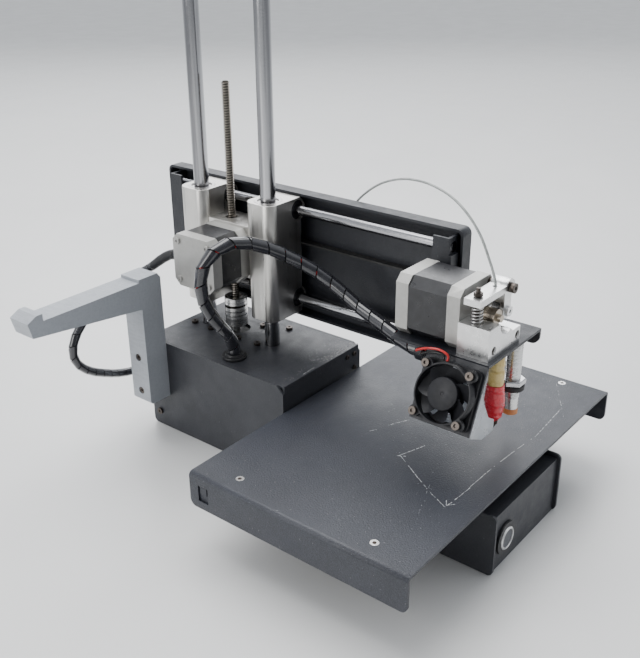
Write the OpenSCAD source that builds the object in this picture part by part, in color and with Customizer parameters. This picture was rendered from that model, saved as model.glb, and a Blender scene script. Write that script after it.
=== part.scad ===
// Desktop cantilever 3-D printer in folded sheet steel.
// The bed slides along X, the carriage climbs along Z, the arm slides along Y.
// Origin: on the base underside, midway between the two vertical guide rods in Y.

/* [Base] */
// Width of the electronics box
box_w = 96; // [90:1:100]
// Height of the electronics box
box_h = 80; // [78:1:80]
// Width of the low base under the bed
tunnel_w = 95; // [94:0.5:96]
// Height of the low base
tunnel_h = 47; // [47:0.5:48]
// Thickness of the folded sheet
sheet = 2; // [1.5:0.5:2]

/* [Bed] */
// Length of the bed plate along X
bed_w = 278; // [270:1:290]
// Depth of the bed plate along Y
bed_d = 176; // [170:1:176]
// Height of the bed's top face
bed_top = 60; // [60:0.5:60.5]
// Depth of the folded lips
bed_lip = 26; // [24:1:28]

/* [Vertical axis] */
// Diameter of the vertical guide rods
z_rod_d = 12; // [11:1:12]
// Distance between the vertical guide rods
z_rod_gap = 70.6; // [70:0.1:71]
// Height of the rods' top ends
z_rod_top = 400; // [360:1:420]
// Height of the lead screw's top end
screw_top = 284; // [280:1:340]

/* [Arm] */
// Length of the arm channel
arm_l = 290; // [280:1:290]
// Diameter of the arm's guide rods
y_rod_d = 8; // [7:1:8]
// Height of the upper guide rod
y_rod_hi = 190.6; // [190:0.1:191]
// Height of the lower guide rod
y_rod_lo = 117.7; // [117:0.1:118]

/* [Extruder] */
// Tilt of the fan flap from vertical
flap_tilt = 25; // [20:1:28]
// Height of the nozzle's tip at rest
nozzle_z = 76.5; // [76.5:0.5:78]
// Size of the cooling fan
fan_size = 40; // [40:0.5:41]

/* [Hidden] */
$fn = 48;
e = 0.01;

// Base box and the low base in front of it
box_cx = 2;
box_x0 = box_cx - box_w / 2;
box_x1 = box_cx + box_w / 2;
box_y0 = -91.5;
box_y1 = 55.5;
tunnel_cx = -1;
tunnel_x0 = tunnel_cx - tunnel_w / 2;
tunnel_x1 = tunnel_cx + tunnel_w / 2;
tunnel_y0 = -273;
panel_y = tunnel_y0 + 2.5;
panel_top = tunnel_h - 3;
cover_t = 1;
button_x = -30;
button_z = 20.5;
gland_pos = [-30, -28];
port_pos = [-33, 43];

// Bed and its guides
bed_cx = -6;
bed_x0 = bed_cx - bed_w / 2;
bed_x1 = bed_cx + bed_w / 2;
bed_y0 = -269;
bed_y1 = bed_y0 + bed_d;
bed_fold = 3.5;
x_rod_z = 35;
x_rod_d = 8;
guide_x = [-130, 123];
guide_y = [-235, -126];
x_pulley_y = -181;
x_axis_z = 24;
belt_t = 1.5;
belt_w = 6;
belt_gap = 0.3;

// Vertical axis
z_rod_x = 7;
z_rod_y = z_rod_gap / 2;
screw_x = 11.5;
screw_y = 8;
screw_d = 6.35;
coupler_z0 = 84.5;
coupler_l = 25;
motor_w = 42.3;
motor_hole = 31;

// Carriage blocks
block_z0 = 105;
block_z1 = 200;
block_x0 = -6.5;
block_x1 = 29.5;
block_d = 27;
y_rod_x = 26;
y_axis_z = 155;
plate_x0 = -1;
plate_x1 = 4;
belt_y_x = 30.4;

// Arm
arm_y0 = -192;
arm_y1 = arm_y0 + arm_l;
arm_z0 = 100;
arm_z1 = 202;
arm_x0 = 30;
arm_x1 = 41.2;
carrier_x = 37.2;
carrier_y0 = -187;
carrier_y1 = 86;

// Extruder
plate_z = 141.8;
plate_x_left = -30.8;
plate_x_right = 41;
plate_y0 = -250;
e_axis_x = -4.5;
e_axis_z = 163;
e_front_y = -223.9;
e_rear_y = -175.5;
blk_x0 = -27;
blk_x1 = 14.5;
blk_y0 = -247;
blk_y1 = -224;
hob_r = 5.5;
filament_d = 1.75;
filament_x = 1.9;
filament_y = -233;
idler_r = 6.5;
idler_x = 9.3;
pivot_x = 12;
pivot_z = 178.5;
spring_x = -19.5;
lever_y0 = -239;
lever_y1 = -227;
bar_z0 = 176.5;
bar_z1 = 181;
hot_x = 4;
hot_y = -238;
probe_x = 26;
probe_y = -239.5;
fan_y = -228.3;
fan_drop = 23.8;
fan_t = 10;
fan_hole = 32;

// Routes of the cords, in round numbers
harness_d = 10;
harness_pts = [[-30, -28, 84], [-30, -28, 88], [-32.5, -28, 96], [-41, -28.5, 108], [-52, -28, 123],
    [-59, -27, 139], [-60, -27, 155], [-57, -29, 167], [-49, -33, 175], [-38, -38, 179],
    [-25, -45, 177], [-13, -54, 171], [-2, -64, 163], [6, -75, 156], [11, -88, 148],
    [13, -102, 140], [13, -117, 132], [11, -133, 127], [8, -149, 123], [4, -163, 120],
    [2, -171, 119], [2, -178, 119], [2, -184, 119]];
cable_d = 7;
cable_pts = [[-36, 21.15, 156], [-36, 25, 156], [-37, 31, 154], [-38.5, 39, 149], [-40.2, 48, 142],
    [-43.3, 58.3, 135], [-50.5, 63, 130], [-60, 65, 126.5], [-71, 66, 123.5], [-82, 66, 119.5],
    [-92, 66, 114.5], [-101, 66, 108], [-108.5, 66, 99.5], [-112.5, 66, 90], [-111.5, 66, 80],
    [-105.5, 66, 71.5], [-96, 66.5, 64], [-84, 67.5, 57.5], [-70, 70.5, 50.5], [-57, 72, 46],
    [-47, 72, 44.2], [-40, 70.1, 43.3], [-35, 65.5, 43], [-33, 61, 43], [-33, 58, 43]];
filament_pts = [[1.9, -233, 172], [1.9, -233, 184], [4, -226, 198], [7, -217, 211],
    [10, -205, 222], [15, -190, 229], [21, -172, 232], [27, -155, 231.5], [33, -137, 228],
    [39, -117, 220], [44, -99, 208], [47, -86, 195], [48.5, -78, 180], [49, -74, 166],
    [49, -73, 152]];
wire_d = 1.6;
wire_a_pts = [[-0.5, -184, 121.5], [-0.5, -186.5, 121.5], [-3, -189, 124.5], [-9, -191, 129],
    [-17, -193, 133], [-26, -195, 136], [-33.5, -198, 138.6], [-37, -203, 142.2],
    [-37.4, -209.5, 145], [-36.6, -216.5, 145.8], [-35.9, -221.6, 144.4], [-35.7, -223.5, 142.1],
    [-36.9, -223.5, 139.5]];
wire_b_pts = [[2, -184, 119.5], [2, -186.8, 119.5], [-1, -190.5, 121.5], [-7, -193.2, 125.6],
    [-15, -195.2, 129.6], [-24, -197.2, 132.8], [-31.5, -199.8, 135.5], [-35.8, -203.9, 138.9],
    [-36.8, -209.5, 142], [-36.5, -215.2, 143.2], [-35.9, -219.4, 142.9], [-35.9, -220.7, 141.6],
    [-36.9, -220.7, 139.5]];

// ---------- helpers ----------
function unit(v) = v / norm(v);
function side_of(t, u) = unit(u - t * (u * t));
function tangent(p, i) = unit(p[min(i + 1, len(p) - 1)] - p[max(i - 1, 0)]);
// Carries one side vector along the route so that the tube doesn't twist
function sides_along(p, i, u) = i >= len(p) ? [] :
    let (s = side_of(tangent(p, i), u)) concat([s], sides_along(p, i + 1, s));

module tube(p, d, n = 8) {
    u0 = abs(tangent(p, 0)[0]) < 0.9 ? [1, 0, 0] : [0, 1, 0];
    s = sides_along(p, 0, u0);
    ring = [for (i = [0:len(p) - 1]) for (k = [0:n - 1])
        let (a = 360 * k / n, t = tangent(p, i))
        p[i] + d / 2 * (cos(a) * s[i] + sin(a) * cross(t, s[i]))];
    walls = [for (i = [0:len(p) - 2]) for (k = [0:n - 1]) for (h = [0, 1])
        let (a = i * n + k, b = i * n + (k + 1) % n)
        h == 0 ? [a, b + n, b] : [a, a + n, b + n]];
    first = [for (k = [0:n - 1]) k];
    last = [for (k = [n - 1:-1:0]) (len(p) - 1) * n + k];
    polyhedron(points = ring, faces = concat(walls, [first, last]));
}

module along_x(x, y, z, r, l) {
    translate([x, y, z]) rotate([0, 90, 0]) cylinder(r = r, h = l);
}

module along_y(x, y, z, r, l) {
    translate([x, y, z]) rotate([-90, 0, 0]) cylinder(r = r, h = l);
}

module along_z(x, y, z, r, l) {
    translate([x, y, z]) cylinder(r = r, h = l);
}

// Places a 2-D outline drawn in (y, z) as a plate that starts at x
module yz_plate(x, t) {
    translate([x, 0, 0]) rotate([90, 0, 90]) linear_extrude(t) children();
}

// Places a 2-D outline drawn in (x, z) as a plate that starts at y
module xz_plate(y, t) {
    translate([0, y + t, 0]) rotate([90, 0, 0]) linear_extrude(t) children();
}

module rounded(x0, y0, x1, y1, r) {
    union() {
        translate([x0 + r, y0]) square([x1 - x0 - 2 * r, y1 - y0]);
        translate([x0, y0 + r]) square([x1 - x0, y1 - y0 - 2 * r]);
        for (x = [x0 + r, x1 - r]) for (y = [y0 + r, y1 - r]) translate([x, y]) circle(r);
    }
}

module box(a, b) {
    translate(a) cube(b - a);
}

// Square motor outline with cut corners
module motor_outline(cut = 5) {
    w = motor_w / 2;
    polygon([[-w + cut, -w], [w - cut, -w], [w, -w + cut], [w, w - cut],
        [w - cut, w], [-w + cut, w], [-w, w - cut], [-w, -w + cut]]);
}

// Motor pieces lie along +Z, with the mounting face at the top, z = 0
module motor_caps(l, cap = 9.5) {
    difference() {
        union() {
            translate([0, 0, -cap]) linear_extrude(cap) motor_outline(5);
            translate([0, 0, -l]) linear_extrude(cap) motor_outline(5);
        }
        translate([0, 0, -cap - 1]) cylinder(r = 2.55, h = cap + 2);
        translate([0, 0, -l + 3]) cylinder(r = 3, h = cap);
        for (x = [-1, 1]) for (y = [-1, 1])
            translate([x, y, 0] * motor_hole / 2 - [0, 0, 4]) cylinder(r = 1.5, h = 5);
    }
}

module motor_stack(l, cap = 9.5) {
    difference() {
        translate([0, 0, -l + cap]) linear_extrude(l - 2 * cap) motor_outline(6.5);
        translate([0, 0, -l]) cylinder(r = 3.2, h = l);
    }
}

module plain_motor(l) {
    difference() {
        translate([0, 0, -l]) linear_extrude(l) motor_outline(5);
        translate([0, 0, -l + 6]) cylinder(r = 2.55, h = l);
        for (x = [-1, 1]) for (y = [-1, 1])
            translate([x, y, 0] * motor_hole / 2 - [0, 0, 4]) cylinder(r = 1.5, h = 5);
    }
}

// Linear ball bearing along +Z
module ball_bush(d, bore, l) {
    difference() {
        cylinder(d = d, h = l);
        translate([0, 0, -1]) cylinder(r = bore / 2 + 0.03, h = l + 2);
    }
}

// Belt pulley with its hub towards -Z and its shaft
module pulley_on_shaft(hub_l, tooth_l, shaft_back) {
    translate([0, 0, -hub_l]) cylinder(r = 7.5, h = hub_l - 1.2);
    translate([0, 0, -1.2 - e]) cylinder(r = 8, h = 1);
    difference() {
        translate([0, 0, -0.4]) cylinder(r = 6.1, h = tooth_l + 0.4);
        for (i = [0:19]) rotate(18 * i) translate([6.1, 0, -0.2])
            cylinder(r = 0.55, h = tooth_l + 2, $fn = 16);
    }
    translate([0, 0, -shaft_back]) cylinder(r = 2.5, h = shaft_back + 2);
}

module screw_head(r, h, socket) {
    difference() {
        cylinder(r = r, h = h);
        translate([0, 0, h / 2]) cylinder(r = socket, h = h, $fn = 6);
    }
}

// ---------- base ----------
module base_box() color([0.13, 0.13, 0.16]) difference() {
    union() {
        box([box_x0 + sheet, box_y0, box_h - sheet], [box_x1 - sheet, box_y1, box_h]);
        box([box_x0 + sheet, box_y0, sheet], [box_x1 - sheet, box_y0 + sheet, box_h - e]);
        box([box_x0 + sheet, box_y1 - sheet, sheet], [box_x1 - sheet, box_y1, box_h - e]);
    }
    for (s = [-1, 1]) along_z(z_rod_x, s * z_rod_y, box_h - 5, z_rod_d / 2 + 0.1, 10);
    along_z(screw_x, screw_y, box_h - 5, 11, 10);
    along_z(gland_pos[0], gland_pos[1], box_h - 5, 7, 10);
    for (p = top_screws()) along_z(p[0], p[1], box_h - 5, 1.6, 10);
    along_y(port_pos[0], box_y1 - 5, port_pos[1], 4.6, 10);
    box([-15, box_y0 - 1, 14], [15, box_y0 + 4, 34]);
    box([9.8, box_y1 - 4, 17.8], [21.2, box_y1 + 1, 29.2]);
    box([27.8, box_y1 - 4, 17.8], [40.2, box_y1 + 1, 29.2]);
}

function motor_screws() = [for (x = [-1, 1]) for (y = [-1, 1])
    [screw_x + x * motor_hole / 2, screw_y + y * motor_hole / 2]];
function top_screws() = concat(motor_screws(), [[-2.5, 44], [36, -28.5], [-2.5, -27]]);

module cover_outline() difference() {
    rounded(box_y0, 0, box_y1, box_h, 4);
    polygon([[box_y0 - 1, box_h - 7], [box_y0 - 1, box_h + 1], [box_y0 + 7, box_h + 1]]);
}

module side_cover(x, inward) difference() {
    union() {
        yz_plate(inward > 0 ? x : x - sheet, sheet) cover_outline();
        flange = 6;
        x_a = inward > 0 ? x + sheet : x - sheet - flange;
        box([x_a, box_y0 + 8, box_h - 2 * sheet], [x_a + flange, box_y1 - 8, box_h - sheet]);
        box([x_a, box_y0 + 8, sheet], [x_a + flange, box_y1 - 8, 2 * sheet]);
    }
    along_x(x - 5, 47, 12.5, 1.6, 10);
    along_x(x - 5, -83, 12.5, 1.6, 10);
}

module left_cover() color([0.15, 0.15, 0.18]) side_cover(box_x0, 1);

module right_cover() color([0.15, 0.15, 0.18]) side_cover(box_x1, -1);

module bottom_plate() color([0.12, 0.12, 0.14]) difference() {
    box([box_x0 + sheet, box_y0, 0], [box_x1 - sheet, box_y1, sheet]);
    for (s = [-1, 1]) along_z(z_rod_x, s * z_rod_y, -1, 2.2, 5);
}

module rod_clamps() color("silver") for (s = [-1, 1]) difference() {
    box([z_rod_x - 15, s * z_rod_y - 13, sheet], [z_rod_x + 15, s * z_rod_y + 13, 17]);
    along_z(z_rod_x, s * z_rod_y, 6, z_rod_d / 2 + 0.02, 20);
}

module z_rods() color("lightgrey") for (s = [-1, 1]) {
    r = z_rod_d / 2;
    translate([z_rod_x, s * z_rod_y, 6]) rotate_extrude()
        polygon([[0, 0], [r, 0], [r, z_rod_top - 7], [r - 1, z_rod_top - 6], [0, z_rod_top - 6]]);
}

module tunnel_side(x) difference() {
    yz_plate(x, sheet) difference() {
        rounded(tunnel_y0, 0, box_y0 + 8, tunnel_h, 4);
        translate([box_y0, -1]) square([20, tunnel_h + 2]);
    }
    for (y = guide_y) along_x(x - 1, y, x_rod_z, 7.52, sheet + 2);
    box([x - 1, x_pulley_y - 7, x_axis_z + 4], [x + sheet + 1, x_pulley_y + 7, x_axis_z + 11]);
}

module tunnel_channel() color([0.14, 0.14, 0.17]) {
    tunnel_side(tunnel_x0);
    tunnel_side(tunnel_x1 - sheet);
    box([tunnel_x0 + sheet - e, panel_y, 0], [tunnel_x1 - sheet + e, box_y0, sheet]);
    difference() {
        box([tunnel_x0 + sheet - e, panel_y, 0], [tunnel_x1 - sheet + e, panel_y + sheet, panel_top]);
        along_y(button_x, panel_y - 1, button_z, 11, sheet + 2);
    }
}

module tunnel_cover() color([0.12, 0.12, 0.14]) {
    box([tunnel_x0 + sheet, panel_y + sheet, panel_top - cover_t],
        [tunnel_x1 - sheet, box_y0, panel_top]);
}

module button_bezel() color([0.06, 0.06, 0.07]) difference() {
    union() {
        along_y(button_x, panel_y - 2, button_z, 12, 2);
        along_y(button_x, panel_y - e, button_z, 10.9, 16);
    }
    along_y(button_x, panel_y - 3, button_z, 8.45, 16);
}

module button_cap() color([0.6, 0.6, 0.62]) union() {
    along_y(button_x, panel_y - 3, button_z, 8.35, 3.4);
    along_y(button_x, panel_y, button_z, 6, 9);
}

module x_motor() color([0.2, 0.2, 0.2]) {
    w = 17.6;
    face_y = x_pulley_y - 10;
    translate([tunnel_cx, face_y, x_axis_z]) rotate([-90, 0, 0]) difference() {
        translate([0, 0, -34]) linear_extrude(34) rounded(-w, -w, w, w, 3);
        translate([0, 0, -28]) cylinder(r = 2.55, h = 34);
        for (x = [-13, 13]) for (y = [-13, 13]) translate([x, y, -4]) cylinder(r = 1.5, h = 5);
    }
    box([tunnel_cx - 12, face_y - 30, sheet], [tunnel_cx + 12, face_y - 4, x_axis_z - w + 1]);
}

module x_pulley() color("silver") {
    translate([tunnel_cx, x_pulley_y - 3.4, x_axis_z]) rotate([-90, 0, 0])
        pulley_on_shaft(6, 7, 24);
}

module x_bearings() color("silver") for (y = guide_y) {
    for (x = [tunnel_x0, tunnel_x1 - 24]) translate([x, y, x_rod_z]) rotate([0, 90, 0])
        ball_bush(15, x_rod_d, 24);
}

module z_motor() color([0.2, 0.2, 0.2]) {
    translate([screw_x, screw_y, box_h - sheet]) plain_motor(34);
}

module controller_board() {
    color([0.1, 0.3, 0.15]) box([-34, -20, 8], [-10, 46, 9.6]);
    color([0.1, 0.3, 0.15]) box([-34, -84, 8], [42, -50, 9.6]);
    color([0.1, 0.1, 0.1]) box([-20, -76, 9.6], [-8, -64, 11.6]);
    color("silver") box([10, box_y1 - 12, 18], [21, box_y1 + 0.5, 29]);
    color([0.1, 0.1, 0.1]) box([28, box_y1 - 14, 18], [40, box_y1 + 0.5, 29]);
}

module cable_glands() color([0.06, 0.06, 0.06]) {
    difference() {
        union() {
            along_z(gland_pos[0], gland_pos[1], box_h, 10, 2.5);
            along_z(gland_pos[0], gland_pos[1], box_h - 6, 6.95, 10);
        }
        along_z(gland_pos[0], gland_pos[1], box_h - 7, 4.5, 12);
    }
    difference() {
        union() {
            along_y(port_pos[0], box_y1, port_pos[1], 7, 2.5);
            along_y(port_pos[0], box_y1 - 5, port_pos[1], 4.55, 6);
        }
        along_y(port_pos[0], box_y1 - 6, port_pos[1], 3, 12);
    }
}

spool_y0 = 33.4;
spool_w = 20.6;
leg_x0 = box_x0 - 21;
module spool_holder() color([0.55, 0.58, 0.64]) difference() {
    xz_plate(spool_y0, spool_w) polygon([[box_x0, 32], [box_x0, 138], [-49, 142], [-68, 142],
        [-68, 139.5], [-156, 139.5], [-156, 145], [-161, 145], [-169, 141], [-166, 129],
        [leg_x0, 117], [leg_x0, 34], [leg_x0 + 2, 32]]);
    for (z = [42, 72]) {
        along_x(leg_x0 - 1, 44, z, 1.7, 30);
        along_x(leg_x0 - 1, 44, z, 3.2, 4);
    }
}

module base_screws() color([0.2, 0.19, 0.18]) {
    for (p = top_screws()) translate([p[0], p[1], box_h]) screw_head(2.8, 2.2, 1.2);
    for (y = [47, -83]) {
        translate([box_x0, y, 12.5]) rotate([0, -90, 0]) screw_head(2.8, 1.6, 1.1);
        translate([box_x1, y, 12.5]) rotate([0, 90, 0]) screw_head(2.8, 1.6, 1.1);
    }
    for (z = [42, 72]) translate([leg_x0 + 3, 44, z]) rotate([0, -90, 0]) screw_head(2.8, 2.5, 1.2);
    for (p = [[33, 74], [42, 74], [42, 62]]) {
        translate([p[0], box_y0, p[1]]) rotate([90, 0, 0]) screw_head(2, 1.2, 0.9);
    }
}

module harness() color([0.08, 0.08, 0.09]) tube(harness_pts, harness_d, 10);

module y_motor_cable() color([0.08, 0.08, 0.09]) tube(cable_pts, cable_d, 8);

// ---------- bed ----------
module bed_profile() difference() {
    rounded(bed_x0, bed_top - 40, bed_x1, bed_top, bed_fold);
    rounded(bed_x0 + sheet, bed_top - 42, bed_x1 - sheet, bed_top - sheet, bed_fold - sheet + 0.3);
    translate([bed_x0 - 1, bed_top - 50]) square([bed_w + 2, 50 - bed_lip]);
}

module lip_corner(y, turn) {
    r = 5;
    translate([bed_x0 - 1, y, bed_top - bed_lip]) rotate([90, 0, 90]) linear_extrude(bed_w + 2)
        difference() {
            translate([turn > 0 ? -1 : -r, -1]) square(r + 1);
            translate([turn * r, r]) circle(r);
        }
}

module bed_plate() color([0.22, 0.22, 0.25]) {
    bed_sheet();
    box([bed_x0 + sheet - 0.5, bed_y1 - 18, 39], [bed_x0 + sheet + 1, bed_y1 - 7, 53]);
    box([bed_x0 + 0.8, bed_y1 - 15, 45.5], [bed_x0 + sheet + 0.5, bed_y1 - 9, 51]);
}

module bed_sheet() difference() {
    xz_plate(bed_y0, bed_d) bed_profile();
    lip_corner(bed_y0, 1);
    lip_corner(bed_y1, -1);
    for (x = guide_x) for (y = guide_y) along_z(x, y, bed_top - 5, 1.7, 10);
    for (x = guide_x) for (y = guide_y) along_z(x, y, bed_top - 1.4, 3, 2);
    box([bed_x0 - 1, bed_y1 - 17, 40], [bed_x0 + sheet + 1, bed_y1 - 8, 52]);
}

module bed_screws() color("silver") for (x = guide_x) for (y = guide_y) {
    translate([x, y, bed_top - 1.4]) screw_head(2.9, 1.4, 1.2);
    along_z(x, y, bed_top - 7.4, 1.5, 6.5);
}

module rod_brackets() color([0.3, 0.3, 0.3]) {
    for (x = guide_x) for (y = guide_y) difference() {
        box([x - 4, y - 8, x_rod_z - 6], [x + 4, y + 8, bed_top - sheet]);
        along_x(x - 5, y, x_rod_z, x_rod_d / 2 + 0.02, 10);
        along_z(x, y, bed_top - 8.4, 1.55, 10);
    }
    for (x = guide_x) difference() {
        box([x - 4, x_pulley_y - 6, 28], [x + 4, x_pulley_y + 6, bed_top - sheet]);
        box([x - 5, x_pulley_y - belt_w / 2, x_belt_z()],
            [x + 5, x_pulley_y + belt_w / 2, x_belt_z() + belt_t]);
    }
}

module x_rods() color("lightgrey") for (y = guide_y) {
    along_x(guide_x[0] - 6, y, x_rod_z, x_rod_d / 2, guide_x[1] - guide_x[0] + 12);
}

function x_belt_z() = x_axis_z + 6.1 + belt_gap;
module x_belt() color([0.05, 0.05, 0.05]) {
    box([guide_x[0] - 4, x_pulley_y - belt_w / 2, x_belt_z()],
        [guide_x[1] + 4, x_pulley_y + belt_w / 2, x_belt_z() + belt_t]);
}

// ---------- lead screw ----------
module lead_screw() color([0.35, 0.28, 0.22]) {
    r = screw_d / 2;
    z0 = coupler_z0 + 13.5;
    translate([screw_x, screw_y, z0]) rotate_extrude()
        polygon([[0, 0], [r, 0], [r, screw_top - z0 - 1], [r - 1, screw_top - z0], [0, screw_top - z0]]);
}

module coupler() color("silver") {
    translate([screw_x, screw_y, coupler_z0]) difference() {
        cylinder(d = 19, h = coupler_l);
        translate([0, 0, 13.5]) cylinder(r = screw_d / 2 + 0.02, h = 13);
        translate([0, 0, -1]) cylinder(r = 2.52, h = 16);
        for (z = [9.5, 12.5, 15.5]) for (a = [0, 180]) rotate(a + z * 36)
            translate([-12, 3, z]) cube([24, 8, 0.8]);
    }
    along_z(screw_x, screw_y, 62, 2.5, coupler_z0 + 12.5 - 62);
}

// ---------- carriage ----------
module block_outline() union() {
    translate([block_x0, -block_d / 2 + 8]) square([block_x1 - block_x0, block_d - 16]);
    translate([block_x0 + 8, -block_d / 2]) square([block_x1 - block_x0 - 8, block_d]);
    for (s = [-1, 1]) translate([block_x0 + 8, s * (block_d / 2 - 8)]) circle(8);
}

module bearing_block(y) difference() {
    union() {
        translate([0, y, block_z0]) linear_extrude(block_z1 - block_z0) block_outline();
        for (z = [y_rod_hi, y_rod_lo]) {
            along_y(y_rod_x, y - block_d / 2, z, 8.9, block_d);
            box([20, y - block_d / 2, z - 8.9], [y_rod_x, y + block_d / 2, z + 8.9]);
        }
    }
    along_z(z_rod_x, y, block_z0 - 1, 10.5, block_z1 - block_z0 + 2);
    for (z = [y_rod_hi, y_rod_lo])
        along_y(y_rod_x, y - block_d / 2 - 1, z, 7.52, block_d + 2);
}

module bearing_blocks() color([0.7, 0.68, 0.64]) {
    bearing_block(-z_rod_y);
    bearing_block(z_rod_y);
}

module z_bearings() color("silver") for (s = [-1, 1]) translate([z_rod_x, s * z_rod_y, 0]) {
    for (z = [block_z0 + 1, block_z1 - 31]) translate([0, 0, z]) ball_bush(20.96, z_rod_d, 30);
    for (z = [block_z0, block_z1 - 1]) translate([0, 0, z]) difference() {
        cylinder(r = 10.46, h = 1);
        translate([0, 0, -1]) cylinder(r = 8.4, h = 3);
    }
}

module y_bearings() color("silver") for (s = [-1, 1]) for (z = [y_rod_hi, y_rod_lo]) {
    translate([y_rod_x, s * z_rod_y - 12, z]) rotate([-90, 0, 0]) ball_bush(15, y_rod_d, 24);
}

module motor_plate() color([0.75, 0.74, 0.72]) difference() {
    half = z_rod_y - block_d / 2;
    union() {
        box([plate_x0, -half, 135.5], [plate_x1, half, 178]);
        box([plate_x1 - e, -half, 173], [24, half, 178]);
        box([plate_x1 - e, -half, 137], [24, half, 143]);
    }
    along_z(screw_x, screw_y, 130, 5.02, 14);
    along_z(screw_x, screw_y, 170, 5, 12);
    along_x(plate_x0 - 1, 0, y_axis_z, 4, 10);
}

module z_nut() color([0.75, 0.6, 0.3]) difference() {
    union() {
        along_z(screw_x, screw_y, 130, 5, 13);
        along_z(screw_x, screw_y, 134, 7.2, 3);
    }
    along_z(screw_x, screw_y, 129, screw_d / 2 + 0.05, 20);
}

module y_motor_place() translate([plate_x0, 0, y_axis_z]) rotate([0, 90, 0]) children();

module y_motor_stack() color([0.06, 0.06, 0.08]) y_motor_place() motor_stack(40);

module y_motor_caps() color([0.68, 0.67, 0.64]) {
    y_motor_place() motor_caps(40);
    y_motor_place() for (x = [-1, 1]) for (y = [-1, 1])
        translate([x * motor_hole / 2, y * motor_hole / 2, -40]) rotate([180, 0, 0])
            screw_head(2.6, 1.6, 1.2);
}

module y_pulley() color("silver") {
    translate([belt_y_x - 0.4, 0, y_axis_z]) rotate([0, 90, 0]) pulley_on_shaft(7, 6.8, 48);
}

// ---------- arm ----------
module arm_channel() color([0.12, 0.12, 0.15]) {
    yz_plate(arm_x1 - sheet, sheet) rounded(arm_y0, arm_z0, arm_y1, arm_z1, 5);
    yz_plate(arm_x0, arm_x1 - arm_x0 - sheet + e) difference() {
        rounded(arm_y0, arm_z0, arm_y1, arm_z1, 5);
        rounded(arm_y0 + sheet, arm_z0 + sheet, arm_y1 - sheet, arm_z1 - sheet, 3);
    }
}

module carrier_end(y, lip_y) difference() {
    union() {
        box([20, y, 104], [carrier_x + e, y + sheet, 198]);
        box([20, lip_y, 104], [22, lip_y + 13, 198]);
    }
    for (z = [y_rod_hi, y_rod_lo]) along_y(y_rod_x, y - 1, z, y_rod_d / 2 + 0.02, sheet + 2);
}

module rod_carrier() color([0.1, 0.1, 0.13]) {
    box([carrier_x, carrier_y0, 104], [arm_x1 - sheet, carrier_y1, 198]);
    carrier_end(carrier_y0, carrier_y0);
    carrier_end(carrier_y1 - sheet, carrier_y1 - 13);
}

module y_rods() color("lightgrey") for (z = [y_rod_hi, y_rod_lo]) {
    along_y(y_rod_x, carrier_y0, z, y_rod_d / 2, carrier_y1 - carrier_y0);
}

module y_belt() color([0.05, 0.05, 0.05]) {
    z0 = y_axis_z + 6.1 + belt_gap;
    box([belt_y_x, carrier_y0 + sheet, z0], [belt_y_x + belt_w, carrier_y1 - sheet, z0 + belt_t]);
    for (y = [carrier_y0 + sheet, carrier_y1 - sheet - 10]) {
        box([belt_y_x - 0.2, y, z0 - 4], [carrier_x, y + 10, z0]);
        box([belt_y_x - 0.2, y, z0 + belt_t], [carrier_x, y + 10, z0 + belt_t + 3]);
    }
}

// Children are drawn from the fold line: -Z runs down the flap, -X points out of it
module on_flap() translate([plate_x_left, fan_y, plate_z - 1]) rotate([0, flap_tilt, 0]) children();

module extruder_bracket() color([0.12, 0.12, 0.15]) difference() {
    y_back = arm_y0 - 0.5;
    union() {
        box([plate_x_left, plate_y0, plate_z - sheet], [plate_x_right, y_back, plate_z]);
        box([plate_x_left, y_back - 2, plate_z - sheet], [19.5, -176, plate_z]);
        box([18, y_back - 2, plate_z - sheet], [29.5, carrier_y0, plate_z]);
        box([20, carrier_y0 - sheet, plate_z - sheet], [29.5, carrier_y0, 186]);
        yz_plate(plate_x_right - sheet, sheet) hull() {
            translate([plate_y0 + 6, plate_z - 6]) circle(6);
            translate([plate_y0, plate_z - 1]) square([1, 1]);
            translate([arm_y0 - 7, plate_z - 12]) square([1, 12]);
        }
        on_flap() box([0, plate_y0 + 0.4 - fan_y, -46.2], [sheet, 23.3, 0.6]);
    }
    on_flap() along_x(-1, 0, -fan_drop, 18, 4);
    on_flap() fan_holes(1.6, -1, 4);
    along_z(hot_x, hot_y, plate_z - 5, 4, 10);
    along_z(probe_x, probe_y, plate_z - 5, 1.6, 10);
}

module fan_holes(r, x, l) for (y = [-1, 1]) for (z = [-1, 1]) {
    along_x(x, y * fan_hole / 2, -fan_drop + z * fan_hole / 2, r, l);
}

module e_motor_place() translate([e_axis_x, e_front_y, e_axis_z]) rotate([90, 0, 0]) children();

module e_motor_stack() color([0.06, 0.06, 0.08]) {
    e_motor_place() motor_stack(e_rear_y - e_front_y);
}

module e_motor_caps() color([0.7, 0.69, 0.65]) e_motor_place() motor_caps(e_rear_y - e_front_y);

module extruder_block() color([0.82, 0.82, 0.83]) difference() {
    xz_plate(blk_y0, blk_y1 - blk_y0) difference() {
        polygon([[blk_x0, plate_z], [blk_x1, plate_z], [blk_x1, 153], [4, 153], [-8, 163.5],
            [blk_x0, 163.5]]);
        translate([e_axis_x, e_axis_z]) circle(9);
    }
    for (s = [-1, 1]) along_y(e_axis_x + s * motor_hole / 2, blk_y0 - 1, e_axis_z - 15.5, 1.7, 30);
    for (s = [-1, 1]) along_y(e_axis_x + s * motor_hole / 2, blk_y0 - 1, e_axis_z - 15.5, 2.9, 5);
    along_z(filament_x, filament_y, plate_z - 1, 1.5, 30);
    along_z(spring_x, filament_y, 150, 1.52, 30);
}

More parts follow.
